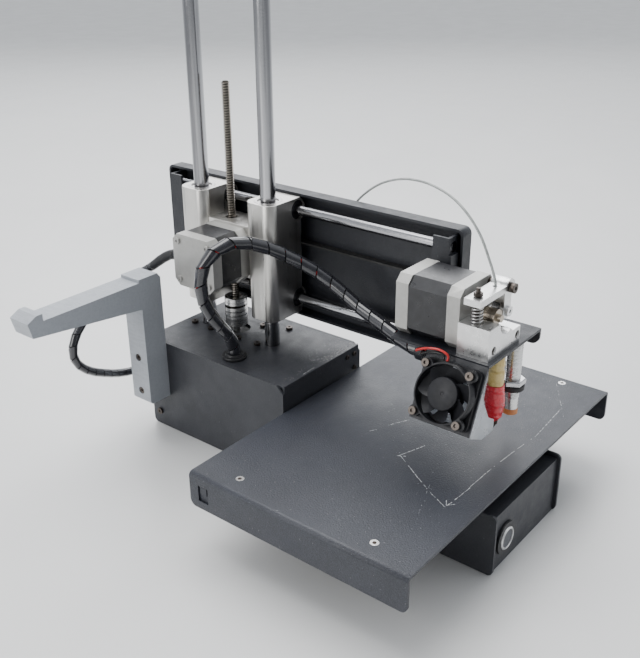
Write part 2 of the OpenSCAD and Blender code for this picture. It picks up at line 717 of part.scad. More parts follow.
module extruder_screws() color([0.3, 0.3, 0.3]) {
    for (s = [-1, 1]) translate([e_axis_x + s * motor_hole / 2, blk_y0 + 4, e_axis_z - 15.5])
        rotate([90, 0, 0]) screw_head(2.75, 2.8, 1.3);
    along_z(spring_x, filament_y, 151, 1.5, 36);
    translate([spring_x, filament_y, bar_z1 + 0.4]) cylinder(r = 3, h = 2.4, $fn = 6);
    along_y(pivot_x, lever_y0 - 1, pivot_z, 2, e_front_y - lever_y0 + 1);
    translate([pivot_x, lever_y0 - 0.4, pivot_z]) rotate([90, 0, 0]) screw_head(3.4, 3.4, 1.5);
    along_y(pivot_x, lever_y1 + 0.4, pivot_z, 3.6, e_front_y - lever_y1 - 0.4);
}

module drive_gear() color([0.6, 0.52, 0.42]) {
    difference() {
        along_y(e_axis_x, -240, e_axis_z, hob_r, 11);
        for (i = [0:23]) translate([e_axis_x, filament_y - 1.2, e_axis_z]) rotate([0, i * 15, 0])
            translate([hob_r, 0, 0]) rotate([-90, 0, 0]) cylinder(r = 0.4, h = 2.4, $fn = 16);
        along_y(e_axis_x, -241, e_axis_z, 2.52, 13);
    }
    along_y(e_axis_x, -243, e_axis_z, 2.5, 243 + e_front_y + 12);
}

module lever_outline() difference() {
    union() {
        translate([-26.5, bar_z0]) square([pivot_x + 26.5, bar_z1 - bar_z0]);
        translate([5, e_axis_z]) square([9, pivot_z - e_axis_z]);
        translate([pivot_x, pivot_z]) circle(6);
        translate([idler_x, e_axis_z]) circle(5.3);
    }
    translate([pivot_x, pivot_z]) circle(2.05);
    translate([idler_x, e_axis_z]) circle(2.01);
}

module idler_lever() color([0.85, 0.85, 0.86]) {
    difference() {
        xz_plate(lever_y0, lever_y1 - lever_y0) lever_outline();
        along_y(idler_x, filament_y - 2.8, e_axis_z, 7.4, 5.6);
        along_z(filament_x, filament_y, 170, 1.6, 20);
        along_z(spring_x, filament_y, 170, 2.4, 20);
    }
    along_y(idler_x, lever_y0 - 1, e_axis_z, 2, lever_y1 - lever_y0 + 1);
    translate([idler_x, lever_y0, e_axis_z]) rotate([90, 0, 0]) screw_head(3.6, 2.4, 1.4);
}

module idler_bearing() color("silver") {
    translate([idler_x, filament_y - 2.4, e_axis_z]) rotate([-90, 0, 0]) difference() {
        cylinder(r = idler_r, h = 4.8);
        translate([0, 0, -1]) cylinder(r = 2.05, h = 8);
    }
}

spring_turns = 6;
module idler_spring() color([0.8, 0.8, 0.8]) {
    z0 = 164.1;
    rise = bar_z0 - 0.6 - z0;
    steps = spring_turns * 10;
    tube([for (i = [0:steps]) let (a = 36 * i) [spring_x + 3.6 * cos(a), filament_y + 3.6 * sin(a),
        z0 + rise * i / steps]], 1, 6);
}

module heat_barrel() color([0.85, 0.75, 0.4]) {
    translate([hot_x, hot_y, 111]) rotate_extrude()
        polygon([[0, 0], [5.9, 0], [5.9, 10], [5.3, 11.5], [5.3, 13], [5.7, 14.5], [5.7, 28.8], [0, 28.8]]);
}

module heater_block() color([0.75, 0.05, 0.08]) {
    translate([hot_x, hot_y, 84]) rotate_extrude()
        polygon([[0, 0], [4.2, 0], [6, 2.5], [7.1, 8], [7.5, 15], [7, 21], [6.4, 27], [0, 27]]);
}

module nozzle() color([0.1, 0.08, 0.07]) {
    h = 84 - nozzle_z;
    translate([hot_x, hot_y, nozzle_z]) rotate_extrude()
        polygon([[0, 0], [0.6, 0], [2.6, h - 3.5], [3.2, h - 3], [3.2, h], [0, h]]);
}

module probe_body() color([0.7, 0.68, 0.66]) {
    along_z(probe_x, probe_y, 84, 5.3, plate_z - sheet - 84);
    difference() {
        union() {
            along_z(probe_x, probe_y, 99, 8.5, 4);
            translate([probe_x, probe_y, 103]) cylinder(r = 9.2, h = 4, $fn = 6);
        }
        along_z(probe_x, probe_y, 98, 5.3 - e, 12);
    }
}

module probe_tip() color([0.85, 0.4, 0.15]) along_z(probe_x, probe_y, 80, 5.2, 4);

module fan_frame() color([0.1, 0.1, 0.11]) on_flap() {
    w = fan_size / 2;
    difference() {
        union() {
            translate([-3, 0, -fan_drop]) rotate([90, 0, 90]) linear_extrude(3) rounded(-w, -w, w, w, 3.5);
            along_x(-fan_t, 0, -fan_drop, w, fan_t - 1);
            for (y = [-1, 1]) for (z = [-1, 1]) hull() {
                along_x(-fan_t, y * fan_hole / 2, -fan_drop + z * fan_hole / 2, 3.9, 3);
                along_x(-fan_t, y * 12, -fan_drop + z * 12, 3.5, 3);
            }
        }
        along_x(-fan_t - 1, 0, -fan_drop, 19, fan_t + 2);
        fan_holes(1.7, -fan_t - 1, fan_t + 2);
    }
    difference() {
        union() {
            along_x(-1.5, 0, -fan_drop, 12, 1.5);
            for (a = [0, 120, 240]) translate([-1.5, 0, -fan_drop]) rotate([a, 0, 0])
                translate([0, 11, -1.2]) cube([1.5, 8.5, 2.4]);
        }
        along_x(-2, 0, -fan_drop, 1.2, 4);
    }
}

module fan_rotor() color([0.13, 0.13, 0.14]) on_flap() {
    translate([0, 0, -fan_drop]) {
        difference() {
            along_x(-fan_t + 0.6, 0, 0, 10.8, 7.2);
            along_x(-fan_t + 2, 0, 0, 9, 7);
        }
        along_x(-fan_t + 1.5, 0, 0, 1.1, 9);
        intersection() {
            for (i = [0:6]) rotate([360 / 7 * i, 0, 0]) translate([-5.6, 14.2, 0])
                rotate([0, 48, 0]) cube([11, 9, 1.1], center = true);
            difference() {
                along_x(-fan_t + 1, 0, 0, 18.3, 7);
                along_x(-fan_t, 0, 0, 10.2, 10);
            }
        }
    }
}

module fan_screws() color([0.4, 0.3, 0.24]) on_flap() {
    for (y = [-1, 1]) for (z = [-1, 1])
        translate([-fan_t, y * fan_hole / 2, -fan_drop + z * fan_hole / 2]) rotate([0, -90, 0])
            screw_head(2.7, 2.4, 1.3);
    fan_holes(1.5, -fan_t, fan_t + sheet);
}

module fan_duct() color([0.8, 0.82, 0.85, 0.5]) difference() {
    xz_plate(-247, 34) polygon([[-33.9, 129], [-47, 101], [-42, 93], [-27, 85.5], [-12, 85.5],
        [-12, 94], [-20, 99], [-27, 112]]);
    xz_plate(-245.8, 31.6) polygon([[-34.5, 126.5], [-48, 101], [-41, 94.3], [-26.6, 86.8], [-10, 86.8],
        [-10, 92.7], [-21, 98.2], [-28.2, 111.6]]);
}

module fan_wires() color([0.6, 0.05, 0.05]) {
    tube(wire_a_pts, wire_d, 8);
    tube(wire_b_pts, wire_d, 8);
}

module harness_clip() color([0.07, 0.07, 0.07]) difference() {
    union() {
        along_y(2, -184, 119, 7, 6);
        box([-3, -184, 119], [7, -178, plate_z - sheet]);
    }
    along_y(2, -185, 119, 5.3, 8);
}

module filament() color([0.6, 0.62, 0.62]) tube(filament_pts, filament_d, 8);

base_box();
left_cover();
right_cover();
bottom_plate();
rod_clamps();
z_rods();
tunnel_channel();
tunnel_cover();
button_bezel();
button_cap();
x_motor();
x_bearings();
x_pulley();
z_motor();
controller_board();
cable_glands();
spool_holder();
base_screws();
harness();
y_motor_cable();
bed_plate();
bed_screws();
rod_brackets();
x_rods();
x_belt();
lead_screw();
coupler();
bearing_blocks();
z_bearings();
y_bearings();
motor_plate();
z_nut();
y_motor_stack();
y_motor_caps();
y_pulley();
arm_channel();
rod_carrier();
y_rods();
y_belt();
extruder_bracket();
e_motor_stack();
e_motor_caps();
extruder_block();
extruder_screws();
drive_gear();
idler_lever();
idler_bearing();
idler_spring();
heat_barrel();
heater_block();
nozzle();
probe_body();
probe_tip();
fan_frame();
fan_rotor();
fan_screws();
fan_duct();
fan_wires();
harness_clip();
filament();
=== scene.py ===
# Looks of the cantilever printer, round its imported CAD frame.
import math
import random

import bpy
import numpy as np
from mathutils import Matrix, Vector


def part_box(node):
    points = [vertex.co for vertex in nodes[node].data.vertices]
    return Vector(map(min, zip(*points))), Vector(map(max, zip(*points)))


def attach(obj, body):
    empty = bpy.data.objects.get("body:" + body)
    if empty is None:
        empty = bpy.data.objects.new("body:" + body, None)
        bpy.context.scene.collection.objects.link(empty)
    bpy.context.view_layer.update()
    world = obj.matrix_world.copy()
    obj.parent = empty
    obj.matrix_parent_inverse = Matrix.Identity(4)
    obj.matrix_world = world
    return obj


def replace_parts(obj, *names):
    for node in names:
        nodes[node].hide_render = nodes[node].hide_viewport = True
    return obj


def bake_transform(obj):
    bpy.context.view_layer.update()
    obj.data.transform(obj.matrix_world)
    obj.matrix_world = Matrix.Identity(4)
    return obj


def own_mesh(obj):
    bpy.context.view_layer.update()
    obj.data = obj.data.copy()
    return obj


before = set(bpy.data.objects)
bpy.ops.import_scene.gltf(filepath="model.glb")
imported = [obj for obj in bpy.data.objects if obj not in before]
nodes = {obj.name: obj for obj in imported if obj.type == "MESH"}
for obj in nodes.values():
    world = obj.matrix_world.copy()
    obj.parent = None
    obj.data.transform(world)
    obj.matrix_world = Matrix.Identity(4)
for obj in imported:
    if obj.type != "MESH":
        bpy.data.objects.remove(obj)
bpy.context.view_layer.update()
MM = 0.001
EVEN = (1, 1, 1)  # a texture that isn't stretched


def box_mm(node):
    """Lowest and highest corner of a CAD node, in millimetres."""
    low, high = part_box(node)
    return low / MM, high / MM


def upright(node):
    """Middle x and y, and lowest and highest z, of a CAD node, in millimetres."""
    low, high = box_mm(node)
    return (low.x + high.x) / 2, (low.y + high.y) / 2, low.z, high.z


# ---------- materials ----------
class Surface:
    """A material on one Principled shader, with textures laid out in metres in the row frame."""

    def __init__(self, name, color, rough, metal=0.0, **constants):
        self.mat = bpy.data.materials.new(name)
        self.mat.use_nodes = True
        self.tree = self.mat.node_tree
        self.bsdf = self.tree.nodes["Principled BSDF"]
        self.bsdf.inputs["Base Color"].default_value = (*color, 1)
        self.bsdf.inputs["Roughness"].default_value = rough
        self.bsdf.inputs["Metallic"].default_value = metal
        for socket, value in constants.items():
            self.bsdf.inputs[socket.replace("_", " ")].default_value = value
        self.place = self.new("TexCoord").outputs["Object"]
        self.normal = None

    def new(self, kind, **inputs):
        n = self.tree.nodes.new("ShaderNode" + kind)
        for key, value in inputs.items():
            self.put(n.inputs[key.replace("_", " ")], value)
        return n

    def put(self, socket, value):
        if isinstance(value, bpy.types.NodeSocket):
            self.tree.links.new(value, socket)
        else:
            socket.default_value = value

    def noise(self, per_m, detail, rough, stretch=EVEN, distort=0.0):
        at = self.new("Mapping", Vector=self.place, Scale=stretch).outputs[0]
        n = self.new("TexNoise", Vector=at, Scale=per_m, Detail=detail, Roughness=rough)
        n.inputs["Distortion"].default_value = distort
        return n.outputs[0]

    def stripes(self, axis, pitch, distort=0.0):
        """Sine bands across an axis. The texture turns 20 radians per unit of length and scale."""
        scale = math.tau / 20 / pitch
        n = self.new("TexWave", Vector=self.place, Scale=scale, Distortion=distort)
        n.bands_direction = axis
        n.wave_profile = "SIN"
        return n.outputs[1]

    def along(self, axis, low, high):
        """0 below low, 1 above high, on one axis of the row frame."""
        part = self.new("SeparateXYZ", Vector=self.place).outputs[axis]
        return self.fit(part, low, high, 0, 1, "SMOOTHSTEP")

    def fit(self, value, low, high, to_low, to_high, how="LINEAR"):
        n = self.new("MapRange", Value=value, From_Min=low, From_Max=high, To_Min=to_low, To_Max=to_high)
        n.interpolation_type = how
        return n.outputs[0]

    def times(self, a, b):
        n = self.new("Math")
        n.operation = "MULTIPLY"
        self.put(n.inputs[0], a)
        self.put(n.inputs[1], b)
        return n.outputs[0]

    def mix(self, share, a, b):
        """Colour a, with that share of colour b over it. Inputs 6 and 7 are the node's colours."""
        n = self.new("Mix")
        n.data_type = "RGBA"
        self.put(n.inputs[0], share)
        self.put(n.inputs[6], a if isinstance(a, bpy.types.NodeSocket) else (*a, 1))
        self.put(n.inputs[7], b if isinstance(b, bpy.types.NodeSocket) else (*b, 1))
        return n.outputs[2]

    def paint(self, value):
        self.put(self.bsdf.inputs["Base Color"], value)

    def gloss(self, value):
        self.put(self.bsdf.inputs["Roughness"], value)

    def bump(self, height, depth, strength):
        n = self.new("Bump", Height=height, Distance=depth, Strength=strength)
        if self.normal is not None:
            self.put(n.inputs["Normal"], self.normal)
        self.normal = n.outputs[0]
        self.put(self.bsdf.inputs["Normal"], self.normal)


def powder_coat(name, base, light, dusty=0.3):
    grain = 900
    s = Surface(name, base, 0.45)
    cloud = s.fit(s.noise(28, 5, 0.6), 0.35, 0.7, 0, 1)
    color = s.mix(s.times(cloud, 0.75), base, light)
    fine = s.fit(s.noise(grain * 2.2, 2, 0.5), 0.3, 0.75, 0, 0.5)
    color = s.mix(fine, color, [c * 1.9 for c in light])
    specks = s.fit(s.noise(620, 3, 0.65), 0.665, 0.74, 0, dusty)
    s.paint(s.mix(specks, color, (0.32, 0.32, 0.32)))
    s.gloss(s.fit(s.noise(90, 5, 0.6), 0.3, 0.75, 0.36, 0.56))
    s.bump(s.noise(grain, 3, 0.6), 0.0003, 0.7)
    return s.mat


def worked_metal(name, base, dark, rough, grain, stretch=EVEN, depth=0.00003, smear=0.5):
    """Machined or plated metal; grain is its texture per metre, smear the share of dark patches."""
    s = Surface(name, base, rough, 1.0)
    lay = s.noise(grain, 5, 0.65, stretch)
    cloud = s.fit(s.noise(45, 4, 0.6), 0.35, 0.7, 0, smear)
    s.paint(s.mix(s.times(s.fit(lay, 0.3, 0.75, 0.3, 1.0), cloud), base, dark))
    s.gloss(s.fit(lay, 0.3, 0.7, rough * 0.78, rough * 1.3))
    s.bump(lay, depth, 0.6)
    return s.mat


def plastic(name, base, light, rough, grain=1400, depth=0.00004, **constants):
    s = Surface(name, base, rough, **constants)
    s.paint(s.mix(s.fit(s.noise(140, 4, 0.6), 0.35, 0.75, 0, 0.8), base, light))
    s.gloss(s.fit(s.noise(300, 3, 0.5), 0.3, 0.7, rough * 0.85, rough * 1.2))
    s.bump(s.noise(grain, 2, 0.5), depth, 0.5)
    return s.mat


def bed_surface():
    base, light, glint = (0.0118, 0.0136, 0.0208), (0.0235, 0.0267, 0.0375), (0.062, 0.067, 0.084)
    s = Surface("powder_coat_bed", base, 0.48)
    color = s.mix(s.fit(s.noise(17, 5, 0.62), 0.36, 0.68, 0, 1), base, light)
    color = s.mix(s.fit(s.noise(1900, 2, 0.5), 0.4, 0.7, 0, 0.7), color, glint)
    specks = s.fit(s.noise(520, 3, 0.7), 0.675, 0.735, 0, 0.55)
    color = s.mix(specks, color, (0.36, 0.37, 0.38))
    # lighter grey patches towards the right (+x)
    lighter_patches_right = s.fit(s.noise(75, 6, 0.7, (1, 1.8, 1)), 0.46, 0.72, 0, 0.2)
    s.paint(s.mix(s.times(s.along(0, -0.03, 0.12), lighter_patches_right), color, (0.14, 0.145, 0.155)))
    s.gloss(s.fit(s.noise(60, 5, 0.65), 0.3, 0.75, 0.34, 0.5))
    s.bump(s.noise(800, 3, 0.6), 0.0004, 0.8)
    return s.mat


def printed_plastic():
    base, light, dark = (0.46, 0.485, 0.52), (0.56, 0.585, 0.62), (0.29, 0.31, 0.345)
    layer = 0.0009
    s = Surface("printed_layers", base, 0.5)
    lines = s.stripes("Y", layer, 0.25)
    blotch = s.fit(s.noise(70, 5, 0.6, (0.4, 4, 0.4)), 0.3, 0.72, 0, 1)
    color = s.mix(s.times(blotch, 0.55), base, light)
    streaks = s.fit(s.noise(520, 4, 0.7, (1, 0.16, 1)), 0.42, 0.66, 0, 0.42)
    color = s.mix(streaks, color, dark)
    # painted shade: the layer lines are painted darker where their bump dips, in the grooves between layers
    s.paint(s.mix(s.fit(lines, 0.2, 1, 0.55, 0), color, dark))
    s.gloss(s.fit(s.noise(200, 3, 0.5), 0.3, 0.7, 0.42, 0.58))
    s.bump(lines, 0.00022, 0.8)
    s.bump(s.noise(260, 4, 0.6, (1, 0.3, 1)), 0.00012, 0.5)
    return s.mat


def laminations():
    dark, light = (0.006, 0.0062, 0.0085), (0.018, 0.0185, 0.022)
    s = Surface("motor_laminations", (0.012, 0.012, 0.015), 0.34, Coat_Weight=0.15, Coat_Roughness=0.2)
    s.paint(s.mix(s.fit(s.noise(160, 4, 0.6), 0.4, 0.75, 0, 0.9), dark, light))
    s.gloss(s.fit(s.noise(120, 4, 0.6), 0.3, 0.7, 0.24, 0.44))
    s.bump(s.noise(420, 3, 0.6), 0.00006, 0.6)
    return s.mat


def cast_cap():
    base, dark = (0.46, 0.455, 0.437), (0.36, 0.355, 0.34)
    s = Surface("cast_caps", base, 0.42, 0.55)
    s.paint(s.mix(s.fit(s.noise(110, 5, 0.6), 0.35, 0.7, 0, 0.55), base, dark))
    s.gloss(s.fit(s.noise(500, 3, 0.5), 0.3, 0.7, 0.34, 0.52))
    s.bump(s.noise(900, 2, 0.6), 0.00005, 0.5)
    return s.mat


def chrome(name, stretch):
    """Ground rod with faint streaks along it; the dark streaks in its colour are a painted reflection of dark
    surroundings.
    """
    light, dark = (0.54, 0.54, 0.555), (0.16, 0.16, 0.17)
    s = Surface(name, (0.66, 0.66, 0.68), 0.16, 1.0)
    # painted reflection: dark streaks along the rod stand in for dark things mirrored in it
    s.paint(s.mix(s.fit(s.noise(190, 3, 0.55, stretch), 0.4, 0.62, 0, 0.85), light, dark))
    s.gloss(s.fit(s.noise(420, 3, 0.6, (1, 1, 3)), 0.3, 0.7, 0.1, 0.22))
    s.bump(s.noise(1500, 2, 0.5, (1, 1, 4)), 0.000012, 0.5)
    return s.mat


def tape(name, base, dark, rough):
    s = Surface(name, base, rough, Coat_Weight=0.45, Coat_Roughness=0.12)
    s.paint(s.mix(s.fit(s.noise(190, 5, 0.65, (1, 1, 0.5)), 0.35, 0.7, 0, 0.8), base, dark))
    s.gloss(s.fit(s.noise(240, 3, 0.6), 0.3, 0.7, rough * 0.7, rough * 1.4))
    s.bump(s.noise(330, 4, 0.6, (1, 1, 0.35), 0.6), 0.0005, 0.5)
    return s.mat


def milky_plastic():
    dark, light = (0.7, 0.73, 0.77), (0.86, 0.88, 0.9)
    s = Surface("milky_duct", (0.8, 0.83, 0.86), 0.22, Transmission_Weight=0.4, IOR=1.2)
    s.paint(s.mix(s.fit(s.noise(90, 4, 0.6), 0.35, 0.7, 0, 0.8), dark, light))
    s.gloss(s.fit(s.noise(70, 3, 0.5), 0.3, 0.7, 0.2, 0.3))
    s.bump(s.noise(60, 2, 0.5), 0.00008, 0.4)
    return s.mat


def circuit_board():
    base, track = (0.012, 0.07, 0.03), (0.04, 0.16, 0.07)
    s = Surface("board_green", base, 0.35)
    lines = s.stripes("X", 0.0024)
    s.paint(s.mix(s.fit(lines, 0.7, 0.9, 0, 0.6), base, track))
    s.gloss(s.fit(s.noise(300, 3, 0.5), 0.3, 0.7, 0.28, 0.45))
    s.bump(lines, 0.00003, 0.5)
    return s.mat


def grey(value):
    return (value, value, value)


black_steel = powder_coat("powder_coat_black", (0.0145, 0.0155, 0.02), (0.032, 0.034, 0.041))
arm_steel = powder_coat("powder_coat_arm", (0.0068, 0.0078, 0.0115), (0.0135, 0.015, 0.0205), 0.2)
bed_coat = bed_surface()
layered = printed_plastic()
stack_black = laminations()
cap_grey = cast_cap()
rod_chrome_x = chrome("ground_rod_x", (0.02, 1, 1))
rod_chrome_y = chrome("ground_rod_y", (1, 0.02, 1))
rod_chrome_z = chrome("ground_rod_z", (1, 1, 0.02))
block_alu = worked_metal("block_aluminium", (0.66, 0.645, 0.615), (0.36, 0.35, 0.33), 0.33, 420,
                         (1, 1, 0.05), 0.00002, 0.35)
bright_alu = worked_metal("bright_aluminium", (0.76, 0.76, 0.755), grey(0.64), 0.3, 300,
                          (0.3, 1, 1), 0.000002, 0.3)
turned_alu = worked_metal("turned_aluminium", (0.7, 0.7, 0.69), (0.55, 0.55, 0.54), 0.28, 300,
                          (0.3, 0.3, 4), 0.000002, 0.3)
button_steel = worked_metal("button_steel", (0.15, 0.155, 0.168), (0.09, 0.093, 0.1), 0.4, 700,
                            EVEN, 0.00001, 0.3)
ball_steel = worked_metal("bearing_steel", (0.55, 0.55, 0.56), (0.25, 0.25, 0.26), 0.25, 500)
lead_steel = worked_metal("screw_crests", (0.34, 0.31, 0.275), (0.13, 0.11, 0.09), 0.34, 700)
# painted shade: near-black thread roots and coupler slots stand in for the shade inside these recesses
thread_root_shade = worked_metal("painted_root_shade", (0.03, 0.025, 0.02), (0.012, 0.01, 0.008), 0.5, 700)
screw_dark = worked_metal("dark_screws", (0.105, 0.09, 0.08), (0.035, 0.03, 0.028), 0.36, 900)
screw_silver = worked_metal("silver_screws", (0.62, 0.61, 0.6), (0.3, 0.29, 0.28), 0.28, 900)
brass = worked_metal("brass", (0.62, 0.42, 0.17), (0.28, 0.17, 0.06), 0.33, 600)
hob_steel = worked_metal("drive_gear_steel", (0.52, 0.46, 0.38), (0.2, 0.165, 0.13), 0.32, 800)
nozzle_dark = worked_metal("nozzle_burnt", (0.055, 0.042, 0.035), (0.015, 0.012, 0.01), 0.45, 700)
black_plastic = plastic("black_plastic", (0.009, 0.0092, 0.0105), (0.022, 0.022, 0.025), 0.38)
fan_plastic = plastic("fan_plastic", (0.008, 0.0083, 0.0105), (0.017, 0.0175, 0.022), 0.45,
                      Specular_IOR_Level=0.3)
belt_black = plastic("belt_rubber", grey(0.012), grey(0.03), 0.6, 900, 0.0001)
rubber = plastic("rubber", grey(0.01), grey(0.026), 0.55, 900, 0.0001)
orange_tip = plastic("probe_tip", (0.62, 0.2, 0.06), (0.78, 0.34, 0.13), 0.4)
wrap_black = plastic("spiral_wrap", (0.015, 0.0153, 0.0195), (0.031, 0.0315, 0.039), 0.2, 700, 0.00003,
                     Coat_Weight=0.8)
sleeve_black = plastic("heat_shrink", (0.008, 0.008, 0.009), (0.022, 0.022, 0.024), 0.34, 260, 0.0003)
wire_red = plastic("wire_red", (0.5, 0.018, 0.02), (0.68, 0.05, 0.04), 0.28)
wire_black = plastic("wire_black", (0.01, 0.01, 0.011), grey(0.03), 0.28)
grey_filament = plastic("grey_filament", (0.36, 0.38, 0.37), (0.56, 0.58, 0.56), 0.22, 500, 0.00005,
                        Transmission_Weight=0.35)
yellow_tape = tape("yellow_tape", (0.8, 0.62, 0.24), (0.55, 0.37, 0.09), 0.28)
red_tape = tape("red_tape", (0.82, 0.02, 0.04), (0.5, 0.008, 0.02), 0.25)
clear_duct = milky_plastic()
board_green = circuit_board()
scuff = plastic("bare_scratch", (0.5, 0.51, 0.52), (0.75, 0.76, 0.76), 0.6, 2500, 0.00005)
dust = plastic("dust", grey(0.2), (0.42, 0.41, 0.4), 0.8, 2500, 0.00005)

CAD_LOOKS = {
    black_steel: "base_box left_cover right_cover bottom_plate tunnel_channel tunnel_cover",
    arm_steel: "arm_channel rod_carrier extruder_bracket rod_brackets harness_clip",
    bed_coat: "bed_plate",
    layered: "spool_holder",
    stack_black: "y_motor_stack e_motor_stack",
    cap_grey: "y_motor_caps e_motor_caps",
    rod_chrome_x: "x_rods",
    rod_chrome_y: "y_rods",
    rod_chrome_z: "z_rods",
    block_alu: "bearing_blocks motor_plate rod_clamps",
    bright_alu: "extruder_block idler_lever x_pulley y_pulley",
    ball_steel: "x_bearings idler_bearing",
    screw_dark: "base_screws fan_screws extruder_screws",
    screw_silver: "bed_screws z_bearings",
    brass: "z_nut",
    hob_steel: "drive_gear",
    nozzle_dark: "nozzle",
    black_plastic: "button_bezel cable_glands y_bearings",
    fan_plastic: "fan_frame",
    belt_black: "x_belt y_belt x_motor z_motor",
    orange_tip: "probe_tip",
    clear_duct: "fan_duct",
    board_green: "controller_board",
}
# Width of the rounded edges of CAD nodes, in millimetres
EDGES = {
    0.2: "bed_screws",
    0.25: "base_screws fan_screws extruder_screws",
    0.3: "y_motor_stack e_motor_stack fan_duct",
    0.35: "fan_frame",
    0.4: "motor_plate rod_carrier extruder_bracket bed_plate tunnel_channel base_box cable_glands",
    0.45: "idler_lever arm_channel",
    0.5: "extruder_block left_cover right_cover harness_clip button_bezel rod_clamps",
    0.6: "bearing_blocks y_motor_caps e_motor_caps",
}
SHARP = math.radians(42)  # edges over this angle are rounded


def round_edges(node, width):
    weld = node.modifiers.new("join", "WELD")
    weld.merge_threshold = 1e-6
    bevel = node.modifiers.new("edge", "BEVEL")
    bevel.width = width * MM
    bevel.segments = 2
    bevel.limit_method = "ANGLE"
    bevel.angle_limit = SHARP
    bevel.harden_normals = True


for look, names in CAD_LOOKS.items():
    for name in names.split():
        mesh = nodes[name].data
        mesh.materials.clear()
        mesh.materials.append(look)
for width, names in EDGES.items():
    for name in names.split():
        round_edges(nodes[name], width)


# ---------- mesh helpers ----------
AXIS = 0.01  # radius of a turned shape's end points, which stands for its axis


def piece(name, verts, faces, body, looks, smooth=True, look_of=None, crisp=None):
    """A new mesh in the row frame, made in millimetres, that rides on a body if one is given.
    look_of gives each face's place in looks. Edges over crisp degrees stay sharp."""
    mesh = bpy.data.meshes.new(name)
    mesh.from_pydata([tuple(float(c) * MM for c in v) for v in verts], [], faces)
    for look in looks if isinstance(looks, list) else [looks]:
        mesh.materials.append(look)
    if look_of is not None:
        mesh.polygons.foreach_set("material_index", look_of)
    mesh.polygons.foreach_set("use_smooth", [smooth] * len(mesh.polygons))
    mesh.update()
    if crisp:
        mesh.set_sharp_from_angle(angle=math.radians(crisp))
    obj = bpy.data.objects.new(name, mesh)
    bpy.context.scene.collection.objects.link(obj)
    if body:
        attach(obj, body)
    return obj


def join_parts(parts):
    """(verts, faces, look) parts as one; a look is one number, or a list with one for each face."""
    verts, faces, looks = [], [], []
    for part, part_faces, look in parts:
        first = len(verts)
        verts += [tuple(p) for p in part]
        faces += [tuple(i + first for i in face) for face in part_faces]
        looks += look if isinstance(look, list) else [look] * len(part_faces)
    return verts, faces, looks


def moved(part, matrix):
    """(verts, faces) with the verts moved by the matrix."""
    return [tuple(matrix @ Vector(v)) for v in part[0]], part[1]


def skin(rings, count):
    """Faces over successive rings of count points, closed at both ends."""
    faces = []
    for i in range(rings - 1):
        here, there = i * count, (i + 1) * count
        for k in range(count):
            after = (k + 1) % count
            faces.append((here + k, here + after, there + after, there + k))
    last = (rings - 1) * count
    return faces + [tuple(range(count))[::-1], tuple(range(last, last + count))]


def smooth_route(points, step):
    """A smooth line through the points, with even steps, and its length."""
    p = np.array(points, float)
    p = np.vstack([2 * p[0] - p[1], p, 2 * p[-1] - p[-2]])
    fine = []
    for a, b, c, d in zip(p, p[1:], p[2:], p[3:]):
        for t in np.linspace(0, 1, 24, endpoint=False):
            bend = (2 * a - 5 * b + 4 * c - d) * t**2 + (3 * b - a - 3 * c + d) * t**3
            fine.append(0.5 * (2 * b + (c - a) * t + bend))
    fine = np.array(fine + [p[-2]])
    so_far = np.concatenate([[0], np.cumsum(np.linalg.norm(np.diff(fine, axis=0), axis=1))])
    length = so_far[-1]
    even = np.linspace(0, length, max(2, int(round(length / step)) + 1))
    return np.stack([np.interp(even, so_far, fine[:, k]) for k in range(3)], 1), length


def sides_along(line):
    """Two unit sides at each point of the line, carried along it without twist."""
    ahead = np.gradient(line, axis=0)
    ahead /= np.linalg.norm(ahead, axis=1)[:, None]
    side = np.cross(ahead[0], [0, 0, 1.0] if abs(ahead[0][2]) < 0.9 else [1.0, 0, 0])
    across = []
    for d in ahead:
        side = side - d * (side @ d)
        side /= np.linalg.norm(side)
        across.append(side)
    across = np.array(across)
    return across, np.cross(ahead, across)


def tube(line, radius, sides=10):
    """A round skin on the line; the radius is one number or one for each point."""
    across, up = sides_along(line)
    a = np.arange(sides) / sides * math.tau
    ring = np.cos(a)[None, :, None] * across[:, None] + np.sin(a)[None, :, None] * up[:, None]
    out = np.broadcast_to(np.asarray(radius, float), (len(line),))[:, None, None]
    return (line[:, None] + out * ring).reshape(-1, 3), skin(len(line), sides)


def spiral_wrap(line, length, radius, pitch, width):
    """A ribbon with thickness, wound round the line from end to end."""
    wall, edge, drop, per_turn = 0.8, 0.15, 0.25, 22
    profile = [(0, radius - wall), (0, radius - drop), (edge, radius),
               (width - edge, radius), (width, radius - drop), (width, radius - wall)]
    across, up = sides_along(line)
    where = np.linspace(0, length, len(line))

    def at(values, s):
        return np.array([np.interp(s, where, values[:, k]) for k in range(3)])

    steps = int((length + width) / pitch * per_turn) + 1
    verts = []
    for i in range(steps):
        a = math.tau * i / per_turn
        for offset, r in profile:
            s = min(max(i / per_turn * pitch + offset - width, 0), length)
            verts.append(at(line, s) + r * (math.cos(a) * at(across, s) + math.sin(a) * at(up, s)))
    return verts, skin(steps, len(profile))


def twisted_wires(line, length, radius, looks):
    """Six wires twisted round the line, as parts for join_parts(), inside a wrap of that radius."""
    wires, turn = 6, 110  # turn is the length of one twist
    across, up = sides_along(line)
    s = np.linspace(0, length, len(line))
    parts = []
    for w in range(wires):
        a = math.tau * (w / wires + s / turn)
        wire = line + radius * 0.5 * (np.cos(a)[:, None] * across + np.sin(a)[:, None] * up)
        parts.append((*tube(wire, radius * 0.27, 6), looks[w % len(looks)]))
    return parts


def lathe(profile, segments, centre=(0, 0, 0), warp=None):
    """Turned round Z through the centre, from (radius, height) points.
    warp(angle, height) adds to the radius."""
    x, y, z0 = centre
    verts = []
    for r, z in profile:
        for k in range(segments):
            a = math.tau * k / segments
            out = r + (warp(a, z) if warp and r > AXIS else 0)
            verts.append((x + out * math.cos(a), y + out * math.sin(a), z0 + z))
    return verts, skin(len(profile), segments)


